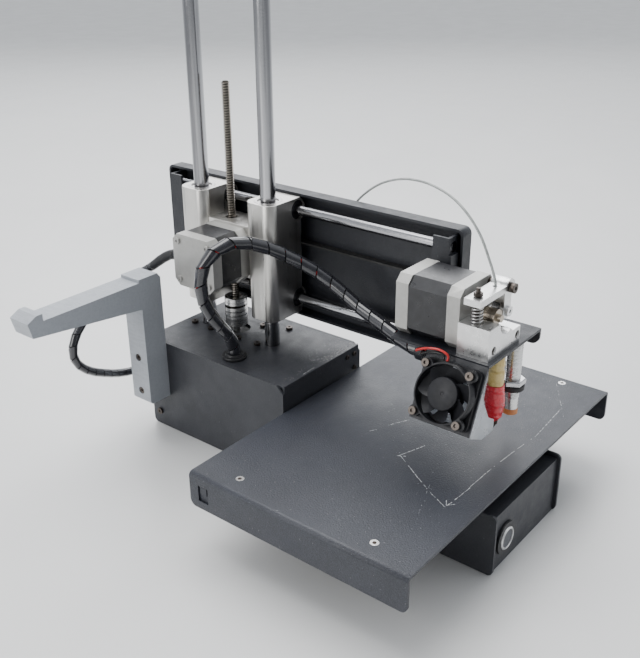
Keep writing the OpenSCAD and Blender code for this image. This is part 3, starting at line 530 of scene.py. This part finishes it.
def threaded_rod(x, y, z0, z1, radius, pitch, depth, per_turn, shares=(0.22, 0.42, 0.78)):
    """A helical thread on a core: verts, faces, and 1 for each face of the root or core, else 0.
    shares are where the root ends, the crest starts and the crest ends, as shares of the pitch."""
    root = radius - depth
    profile = [(0.0, root), (shares[0], root), (shares[1], radius), (shares[2], radius)]
    k = len(profile)
    steps = int((z1 - z0) / pitch * per_turn)
    verts, faces, looks = [], [], []
    for i in range(steps + 1):
        a = math.tau * i / per_turn
        for share, r in profile:
            z = min(max(z0 + pitch * (i / per_turn + share - 1), z0), z1)
            verts.append((x + r * math.cos(a), y + r * math.sin(a), z))
    for i in range(steps):
        here, after, next_turn = i * k, (i + 1) * k, (i + per_turn) * k
        for j in range(k - 1):
            faces.append((here + j, after + j, after + j + 1, here + j + 1))
            looks.append(1 if j == 0 else 0)
        if i + per_turn < steps:
            faces.append((here + k - 1, after + k - 1, next_turn + k, next_turn))
            looks.append(0)
    tall = z1 - z0
    core = lathe([(AXIS, 0), (root, 0), (root, tall - 0.4), (root - 0.6, tall), (AXIS, tall)], 24, (x, y, z0))
    return join_parts([(verts, faces, looks), (*core, 1)])


# ---------- cords ----------
HARNESS = [(-30, -28, 84), (-30, -28, 88), (-32.5, -28, 96), (-41, -28.5, 108), (-52, -28, 123),
           (-59, -27, 139), (-60, -27, 155), (-57, -29, 167), (-49, -33, 175), (-38, -38, 179),
           (-25, -45, 177), (-13, -54, 171), (-2, -64, 163), (6, -75, 156), (11, -88, 148),
           (13, -102, 140), (13, -117, 132), (11, -133, 127), (8, -149, 123), (4, -163, 120),
           (2, -171, 119), (2, -178, 119), (2, -184, 119)]
CREST = 10  # the point where the harness is split, on top of the arm motor
CABLE = [(-36, 21.15, 156), (-36, 25, 156), (-37, 31, 154), (-38.5, 39, 149), (-40.2, 48, 142),
         (-43.3, 58.3, 135), (-50.5, 63, 130), (-60, 65, 126.5), (-71, 66, 123.5), (-82, 66, 119.5),
         (-92, 66, 114.5), (-101, 66, 108), (-108.5, 66, 99.5), (-112.5, 66, 90), (-111.5, 66, 80),
         (-105.5, 66, 71.5), (-96, 66.5, 64), (-84, 67.5, 57.5), (-70, 70.5, 50.5), (-57, 72, 46),
         (-47, 72, 44.2), (-40, 70.1, 43.3), (-35, 65.5, 43), (-33, 61, 43), (-33, 58, 43)]
SLEEVED = slice(1, 5)  # the cable's points under its heat shrink
FILAMENT = [(1.9, -233, 172), (1.9, -233, 184), (4, -226, 198), (7, -217, 211), (10, -205, 222),
            (15, -190, 229), (21, -172, 232), (27, -155, 231.5), (33, -137, 228), (39, -117, 220),
            (44, -99, 208), (47, -86, 195), (48.5, -78, 180), (49, -74, 166), (49, -73, 152)]
RED_WIRE = [(-0.5, -184, 121.5), (-0.5, -186.5, 121.5), (-3, -189, 124.5), (-9, -191, 129),
            (-17, -193, 133), (-26, -195, 136), (-33.5, -198, 138.6), (-37, -203, 142.2),
            (-37.4, -209.5, 145), (-36.6, -216.5, 145.8), (-35.9, -221.6, 144.4),
            (-35.7, -223.5, 142.1), (-36.9, -223.5, 139.5)]
BLACK_WIRE = [(2, -184, 119.5), (2, -186.8, 119.5), (-1, -190.5, 121.5), (-7, -193.2, 125.6),
              (-15, -195.2, 129.6), (-24, -197.2, 132.8), (-31.5, -199.8, 135.5),
              (-35.8, -203.9, 138.9), (-36.8, -209.5, 142), (-36.5, -215.2, 143.2),
              (-35.9, -219.4, 142.9), (-35.9, -220.7, 141.6), (-36.9, -220.7, 139.5)]


def wrapped_cord(name, points, radius, pitch, width, tints):
    """Twisted wires in a spiral wrap; tints are the wires' places in the list of looks."""
    line, length = smooth_route(points, 2.0)
    ribbon = spiral_wrap(line, length, radius, pitch, width)
    verts, faces, looks = join_parts([(*ribbon, 0)] + twisted_wires(line, length, radius, tints))
    obj = piece(name, verts, faces, None, [wrap_black, wire_black, wire_red],
                look_of=looks, crisp=32)
    return obj, line, length


def harness():
    wrap = {"radius": 5, "pitch": 14.0, "width": 13.1, "tints": (1, 1, 1, 2, 1, 1)}
    lower, *route = wrapped_cord("harness_lower", HARNESS[:CREST + 1], **wrap)
    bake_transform(lower)
    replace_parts(lower, "harness")
    upper, *route = wrapped_cord("harness_upper", HARNESS[CREST:], **wrap)
    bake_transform(upper)


def arm_motor_cable():
    cable, *route = wrapped_cord("y_motor_lead", CABLE, radius=3.5, pitch=9.5, width=8.9, tints=(1,))
    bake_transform(cable)
    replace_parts(cable, "y_motor_cable")
    line, _ = smooth_route(CABLE[SLEEVED], 1.5)
    thick, taper, ripple = 3.9, 0.35, 0.12
    share = np.linspace(0, 1, len(line))
    verts, faces = tube(line, thick - taper * share**3 + ripple * np.sin(share * 21) * (1 - share), 16)
    sleeve = piece("y_motor_sleeve", verts, faces, "z_carriage", sleeve_black)


def filament():
    line, length = smooth_route(FILAMENT, 1.5)
    verts, faces = tube(line, 0.875)
    strand = piece("filament_strand", verts, faces, "arm", grey_filament)
    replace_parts(strand, "filament")


def fan_wire(name, points, look):
    line, length = smooth_route(points, 0.8)
    verts, faces = tube(line, 0.8)
    wire = piece(name, verts, faces, "arm", look)
    return wire


harness()
arm_motor_cable()
filament()
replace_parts(fan_wire("fan_wire_red", RED_WIRE, wire_red), "fan_wires")
fan_wire("fan_wire_black", BLACK_WIRE, wire_black)


# ---------- lead screw, coupler, spring ----------
def lead_screw():
    x, y, bottom, top = upright("lead_screw")
    verts, faces, looks = threaded_rod(x, y, bottom, top - 0.2, radius=3.175, pitch=2.0, depth=0.8,
                                       per_turn=24, shares=(0.3, 0.42, 0.86))
    # the thread's roots take the painted root shade
    screw = piece("lead_screw_thread", verts, faces, "z_screw", [lead_steel, thread_root_shade],
                  look_of=looks, crisp=30)
    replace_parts(screw, "lead_screw")


def screw_coupler():
    """Helical beam coupler on the lead screw's axis, and the lift motor's shaft under it."""
    x, y, _, _ = upright("lead_screw")
    _, _, bottom, top = upright("coupler")
    tall, beam_from, beam_to = 25, 7, 19
    z = top - tall
    beam = threaded_rod(x, y, z + beam_from, z + beam_to, radius=9.45, pitch=3.8, depth=1.3,
                        per_turn=56, shares=(0.12, 0.14, 0.99))
    foot = lathe([(AXIS, 0), (8.9, 0), (9.4, 0.5), (9.4, 6.9), (9.45, 7.05), (8.9, 7.2), (AXIS, 7.2)],
                 56, (x, y, z))
    collar = lathe([(AXIS, 18.6), (8.9, 18.6), (9.45, 18.8), (9.45, 21.2), (9.1, 21.35), (9.1, 21.6),
                    (9.45, 21.75), (9.45, 24.5), (9.0, 24.98), (5.2, 24.98), (4.4, 24.2),
                    (AXIS, 24.2)], 56, (x, y, z))
    shaft = lathe([(AXIS, 0), (2.5, 0), (2.5, 23), (AXIS, 23)], 28, (x, y, bottom))
    verts, faces, looks = join_parts([beam, (*foot, 0), (*collar, 0), (*shaft, 0)])
    # the coupler's helical slot and core take the painted root shade
    coupler = piece("screw_coupler", verts, faces, "z_screw", [turned_alu, thread_root_shade],
                    look_of=looks, crisp=30)
    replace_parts(coupler, "coupler")


def idler_spring():
    _, _, bottom, top = upright("idler_spring")
    x, y, coil_r, wire_r, turns, points, inset = -19.5, -233.0, 3.6, 0.52, 6, 190, 0.5
    a = np.linspace(0, turns * math.tau, points)
    rise = np.clip(np.linspace(-0.06, 1.06, points), 0, 1)  # flat at both ends
    z = bottom + inset + (top - bottom - 2 * inset) * rise
    verts, faces = tube(np.stack([x + coil_r * np.cos(a), y + coil_r * np.sin(a), z], 1), wire_r, 8)
    spring = piece("idler_spring_coil", verts, faces, "arm", screw_silver)
    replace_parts(spring, "idler_spring")
    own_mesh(spring)


lead_screw()
screw_coupler()
idler_spring()


# ---------- hot end and probe ----------
HOT_END = (4, -238)  # its axis


def wrinkles(depth, waves, seed):
    """Soft, uneven dents for lathe(): a sum of sine waves."""
    rng = random.Random(seed)
    terms = [(rng.uniform(0.6, 1) * depth, rng.choice((1, 2, 3, 4, 5)),
              rng.uniform(0.15, 0.9) * waves, rng.uniform(0, 6)) for _ in range(7)]
    return lambda a, z: sum(d * math.sin(n * a + w * z + f) for d, n, w, f in terms) / 2.6 - depth


def tape_lap(thick, turn, lip, climb=1):
    """The raised lip of tape that is wound in a helix, for lathe()."""
    return lambda a, z: thick * (((z * climb + a / math.tau * turn) % turn) < lip)


def taped(name, node, outline, segments, dents, lap, look):
    """A turned part under tape that stands for a CAD node; the outline is (radius, height) points."""
    radius, height = np.array(outline, float).T
    step = 0.5
    rings = [(float(np.interp(z, height, radius)), float(z)) for z in np.arange(0, height[-1] + 0.01, step)]
    _, _, bottom, _ = upright(node)
    verts, faces = lathe([(AXIS, 0)] + rings + [(AXIS, outline[-1][1])], segments, (*HOT_END, bottom),
                         lambda a, z: dents(a, z) + lap(a, z) - 0.1)
    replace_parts(piece(name, verts, faces, "arm", look), node)


def level_probe():
    """Threaded barrel with a nut and a rubber washer."""
    x, y, bottom, top = upright("probe_body")
    thread_up, washer_up, nut_up = 9, 15, 19
    thread = threaded_rod(x, y, bottom + thread_up, top - 0.1, radius=5.28, pitch=1.0, depth=0.25,
                          per_turn=32)
    plain = lathe([(AXIS, 0), (5.0, 0), (5.25, 0.3), (5.25, 8.6), (4.8, 9.2), (AXIS, 9.2)], 40,
                  (x, y, bottom))
    washer = lathe([(5.2, 0), (8.1, 0), (8.5, 0.5), (8.5, 3.4), (8.1, 3.9), (5.2, 3.9)], 40,
                   (x, y, bottom + washer_up))
    nut = lathe([(5.2, 0), (8.3, 0), (9.1, 0.6), (9.1, 3.3), (8.3, 3.95), (5.2, 3.95)], 6,
                (x, y, bottom + nut_up))
    verts, faces, looks = join_parts([(*thread[:2], 0), (*plain, 0), (*washer, 1), (*nut, 2)])
    probe = piece("level_probe", verts, faces, "arm", [turned_alu, rubber, ball_steel],
                  look_of=looks, crisp=30)
    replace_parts(probe, "probe_body")


taped("taped_barrel", "heat_barrel",
      [(5.7, 0), (5.7, 10), (5.1, 11.5), (5.1, 13), (5.5, 14.5), (5.5, 28.8)], 56,
      wrinkles(0.12, 0.9, seed=3), tape_lap(0.16, 6.5, 0.9), yellow_tape)
taped("taped_heater", "heater_block",
      [(4.2, 0), (5.8, 2.5), (6.9, 8), (7.3, 15), (6.8, 21), (6.2, 27)], 64,
      wrinkles(0.2, 0.6, seed=11), tape_lap(0.3, 5, 0.55, 0.55), red_tape)
level_probe()


# ---------- fan ----------
# FAN places the fan, drawn round the X axis, on the bracket's flap, which slopes down from FLAP_TOP
FLAP_TOP, FLAP_ANGLE, FAN_DOWN = (-30.8, -228.3, 140.8), 25, 23.8
FLAP = Matrix.Translation(FLAP_TOP) @ Matrix.Rotation(math.radians(FLAP_ANGLE), 4, "Y")
FAN = FLAP @ Matrix.Translation((0, 0, -FAN_DOWN))
BLADES = 7
ACROSS, OUT = 9, 6  # points across a blade and out along it


def fan_blade(turn):
    """A curved, leaning blade with two sides and a rim; u runs across it and t out along it."""
    middle, deep, bow, half_thick = -5.4, 5.6, 0.9, 0.42
    root, reach, sweep, lean = 10.3, 7.9, math.radians(46), math.radians(15)
    verts = []
    for side in (1, -1):
        for u in np.linspace(0, 1, ACROSS):
            thick = half_thick * math.sin(math.pi * min(0.97, max(0.03, u)))**0.5
            x = middle + deep * (u - 0.5) + bow * math.sin(math.pi * u) + side * thick
            for t in np.linspace(0, 1, OUT):
                r = root + reach * t
                a = turn + sweep * (u - 0.5) * (1.08 - 0.12 * t) + lean * t**1.4
                verts.append((x, r * math.cos(a), r * math.sin(a)))
    faces = []
    for side in (0, 1):
        for i in range(ACROSS - 1):
            for j in range(OUT - 1):
                q = (side * ACROSS + i) * OUT + j
                face = (q, q + 1, q + OUT + 1, q + OUT)
                faces.append(face if side else face[::-1])
    far, other = (ACROSS - 1) * OUT, ACROSS * OUT
    rim = list(range(0, far + 1, OUT)) + list(range(far + 1, far + OUT))
    rim += list(range(far - 1, 0, -OUT)) + list(range(OUT - 2, 0, -1))
    faces += [(p, q, q + other, p + other) for p, q in zip(rim, rim[1:] + rim[:1])]
    return verts, faces


def fan_rotor():
    """Blades, hub and pin."""
    def on_axis(x):
        return FAN @ Matrix.Translation((x, 0, 0)) @ Matrix.Rotation(math.radians(90), 4, "Y")

    hub = lathe([(AXIS, 0.45), (1.1, 0.42), (1.35, 0.15), (10.1, 0.12), (10.5, 0.3), (10.75, 0.8),
                 (10.8, 1.6), (10.8, 7.0), (9.6, 7.0), (9.6, 2), (AXIS, 2)], 64)
    pin = lathe([(AXIS, 0), (1.1, 0), (1.1, 7.6), (AXIS, 7.6)], 24)
    parts = [moved(fan_blade(math.tau * i / BLADES), FAN) for i in range(BLADES)]
    parts += [moved(hub, on_axis(-9.4)), moved(pin, on_axis(-8.1))]
    verts, faces, _ = join_parts([(*part, 0) for part in parts])
    rotor = piece("fan_blades", verts, faces, "rotor", fan_plastic, crisp=35)
    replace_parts(rotor, "fan_rotor")


fan_rotor()


# ---------- power button ----------
BUTTON = (-30, -273.5, 20.5)


def power_button():
    """A silver ring round a darker centre, facing out of the front panel."""
    facing = Matrix.Translation(BUTTON) @ Matrix.Rotation(math.radians(-90), 4, "X")
    ring = lathe([(6.7, 1.4), (6.7, 0.5), (6.85, 0.12), (7.1, 0), (7.55, 0), (7.75, 0.2), (8.2, 0.55),
                  (8.33, 0.9), (8.33, 3.4), (6.7, 3.4), (6.7, 1.4)], 72)
    disc = lathe([(AXIS, 0.75), (4.5, 0.66), (6.2, 0.6), (6.65, 0.9), (6.65, 3.4), (5.9, 3.4),
                  (5.9, 12.4), (AXIS, 12.4)], 72)
    verts, faces, looks = join_parts([(*moved(ring, facing), 0), (*moved(disc, facing), 1)])
    cap = piece("power_button", verts, faces, "button", [bright_alu, button_steel],
                look_of=looks, crisp=25)
    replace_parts(cap, "button_cap")


power_button()


# ---------- wear: scratches and dust on the bed and on the box, and painted shade in the bed screws' sockets ---
LIFT = 0.03  # height of a mark over its surface
BED_TOP = box_mm("bed_plate")[1].z
BOX_TOP = box_mm("base_box")[1].z


def scratches(name, segments, z, body, seed):
    """Broken, ragged strips on a level surface: (start, end, half width, share covered)."""
    rng = random.Random(seed)
    tooth, tip = 0.5, 0.2  # step of the ragged edge, and the width left at a strip's ends
    verts, faces = [], []
    for (x0, y0), (x1, y1), width, cover in segments:
        length = math.hypot(x1 - x0, y1 - y0)
        along_x, along_y = (x1 - x0) / length, (y1 - y0) / length
        s, wander = 0.0, 0.0
        while s < length:
            run = rng.uniform(0.6, 4.5)
            if rng.random() < cover:
                cuts = max(2, int(run / tooth))
                first = len(verts)
                for k in range(cuts + 1):
                    q = min(length, s + run * k / cuts)
                    wander += rng.uniform(-0.05, 0.05)
                    w = width * rng.uniform(0.25, 1.0) * (tip if k in (0, cuts) else 1)
                    for off in (wander + w, wander - w):
                        x, y = x0 + along_x * q - along_y * off, y0 + along_y * q + along_x * off
                        verts.append((x, y, z + LIFT))
                faces += [(i, i + 1, i + 3, i + 2) for i in range(first, first + 2 * cuts, 2)]
            s += run * rng.uniform(0.8, 1.3)
    piece(name, verts, faces, body, scuff, smooth=False)


def flakes(name, areas, z, body, seed):
    """Tiny uneven specks on a level surface: (x0, y0, x1, y1, count, largest radius)."""
    rng = random.Random(seed)
    verts, faces = [], []
    for x0, y0, x1, y1, count, size in areas:
        for _ in range(count):
            x, y = rng.uniform(x0, x1), rng.uniform(y0, y1)
            corners, first = rng.randint(4, 7), len(verts)
            r = size * rng.uniform(0.2, 1.0) ** 2
            for k in range(corners):
                a = math.tau * k / corners + rng.uniform(-0.3, 0.3)
                out = r * rng.uniform(0.5, 1.3)
                verts.append((x + out * math.cos(a), y + out * math.sin(a), z + LIFT))
            faces.append(tuple(range(first, first + corners)))
    piece(name, verts, faces, body, dust, smooth=False)


def painted_socket_shade():
    # painted shade: flat dark hexagons on the bed screws stand in for the shade inside their hex sockets
    low, high = box_mm("bed_screws")
    head, socket = 2.8, 1.5
    centres = [(x, y) for x in (low.x + head, high.x - head) for y in (low.y + head, high.y - head)]
    outline = [(AXIS, 0), (socket, 0), (socket, 0.02), (AXIS, 0.02)]
    verts, faces, _ = join_parts([(*lathe(outline, 6, (x, y, BED_TOP)), 0) for x, y in centres])
    piece("painted_socket_shade", verts, faces, "bed", nozzle_dark, smooth=False)


scratches("bed_scratches", [
    ((-43, -193), (-21, -200.5), 0.42, 0.95), ((-43.6, -192), (-40.5, -197.5), 0.4, 0.9),
    ((-42, -194), (-57, -218), 0.3, 0.8), ((-57, -218), (-66, -233), 0.24, 0.5),
    ((-66, -233), (-74, -249), 0.28, 0.6), ((-72, -249.5), (-45, -250.5), 0.4, 0.85),
    ((-45, -250.5), (-7, -251.5), 0.36, 0.8), ((-7, -251.5), (18, -253.3), 0.4, 0.85),
    ((18, -253.3), (38, -255.4), 0.3, 0.7), ((38, -255.4), (83, -252.6), 0.3, 0.7),
    ((-72, -249), (-66, -245.5), 0.32, 0.9), ((-72, -249), (-67.5, -253), 0.32, 0.9),
    ((-14, -164), (2, -172), 0.3, 0.85), ((-29, -158), (-24, -161), 0.26, 0.9),
    ((60, -210), (110, -190), 0.15, 0.3), ((70, -262), (120, -232), 0.14, 0.3),
    ((-90, -240), (-50, -225), 0.1, 0.2),
], BED_TOP, "bed", seed=5)
painted_socket_shade()
flakes("bed_dust", [(-140, -266, 130, -96, 700, 0.3), (30, -262, 130, -180, 520, 0.38)],
       BED_TOP, "bed", seed=8)
flakes("box_dust", [(8, -91, 49, -84, 420, 0.6), (0, -91, 49, -70, 260, 0.5),
                    (-44, -91, 49, -83, 120, 0.5), (-44, -88, 49, 54, 220, 0.3)],
       BOX_TOP, "base", seed=9)
scratches("box_scratches", [((-20, -89.5), (-6, -89.2), 0.25, 0.9), ((20, -88), (40, -86), 0.2, 0.7),
                            ((2, -80), (10, -84), 0.16, 0.6)],
          BOX_TOP, "base", seed=15)


# ---------- stage, lights, camera ----------
def pale_floor():
    half, z = 8, -0.0004  # just under the printer
    s = Surface("floor", (0.66, 0.66, 0.655), 0.32)
    patches = s.fit(s.noise(5, 4, 0.6), 0.35, 0.7, 0, 0.5)
    near = s.mix(patches, (0.755, 0.755, 0.748), (0.70, 0.702, 0.70))
    # painted shade: the floor darkens from 0.25 m to 1.6 m along x, standing in for light that falls off away
    # from the printer
    s.paint(s.mix(s.along(0, 0.25, 1.6), near, (0.6, 0.602, 0.598)))
    s.gloss(s.fit(s.noise(14, 4, 0.6), 0.3, 0.7, 0.28, 0.42))
    mesh = bpy.data.meshes.new("floor")
    corners = [(-half, -half, z), (half, -half, z), (half, half, z), (-half, half, z)]
    mesh.from_pydata(corners, [], [(0, 1, 2, 3)])
    mesh.materials.append(s.mat)
    floor = bpy.data.objects.new("floor", mesh)
    bpy.context.scene.collection.objects.link(floor)


def studio():
    """A bright room all round, darker beyond the printer's front left corner."""
    world = bpy.data.worlds.new("studio")
    bpy.context.scene.world = world
    world.use_nodes = True
    tree = world.node_tree
    toward = tree.nodes.new("ShaderNodeVectorMath")
    toward.operation = "DOT_PRODUCT"
    tree.links.new(tree.nodes.new("ShaderNodeTexCoord").outputs["Generated"], toward.inputs[0])
    toward.inputs[1].default_value = (-0.72, -0.62, 0.3)
    shade = tree.nodes.new("ShaderNodeMapRange")
    shade.interpolation_type = "SMOOTHSTEP"
    for key, value in (("From Min", 0.35), ("From Max", 0.95), ("To Min", 1.22), ("To Max", 0.25)):
        shade.inputs[key].default_value = value
    tree.links.new(toward.outputs["Value"], shade.inputs["Value"])
    sky = tree.nodes["Background"]
    sky.inputs["Color"].default_value = (0.80, 0.83, 0.87, 1)
    tree.links.new(shade.outputs[0], sky.inputs["Strength"])


def softbox(name, at, aim, size, power, tint=(1, 1, 1)):
    data = bpy.data.lights.new(name, "AREA")
    data.shape = "RECTANGLE"
    data.size, data.size_y = size
    data.energy = power
    data.color = tint
    lamp = bpy.data.objects.new(name, data)
    lamp.location = at
    lamp.rotation_euler = (Vector(aim) - Vector(at)).to_track_quat("-Z", "Y").to_euler()
    bpy.context.scene.collection.objects.link(lamp)


def set_camera(at, heading, pitch, roll, lens):
    """A camera that looks along a heading from +X and a pitch, with a roll, all in degrees."""
    data = bpy.data.cameras.new("camera")
    data.sensor_width = 36
    data.lens = lens
    data.clip_start = 0.01
    camera = bpy.data.objects.new("camera", data)
    place = Matrix.Translation(at)
    for degrees, axis in ((heading - 90, "Z"), (90 + pitch, "X"), (roll, "Z")):
        place = place @ Matrix.Rotation(math.radians(degrees), 4, axis)
    camera.matrix_world = place
    bpy.context.scene.collection.objects.link(camera)
    bpy.context.scene.camera = camera


pale_floor()
studio()
softbox("overhead", (0.25, 0.35, 1.55), (0, -0.1, 0), (1.6, 1.1), 30)
softbox("back_wall", (1.35, 1.0, 1.15), (0, -0.1, 0.1), (1.8, 0.9), 20, (0.97, 0.98, 1))
softbox("left_fill", (-1.5, 0.35, 0.8), (0, -0.05, 0.1), (0.8, 1.1), 12, (1, 0.99, 0.97))
set_camera((-0.49867, -0.49141, 0.40865), heading=38.8073, pitch=-24.9513, roll=-0.4953, lens=50.95)
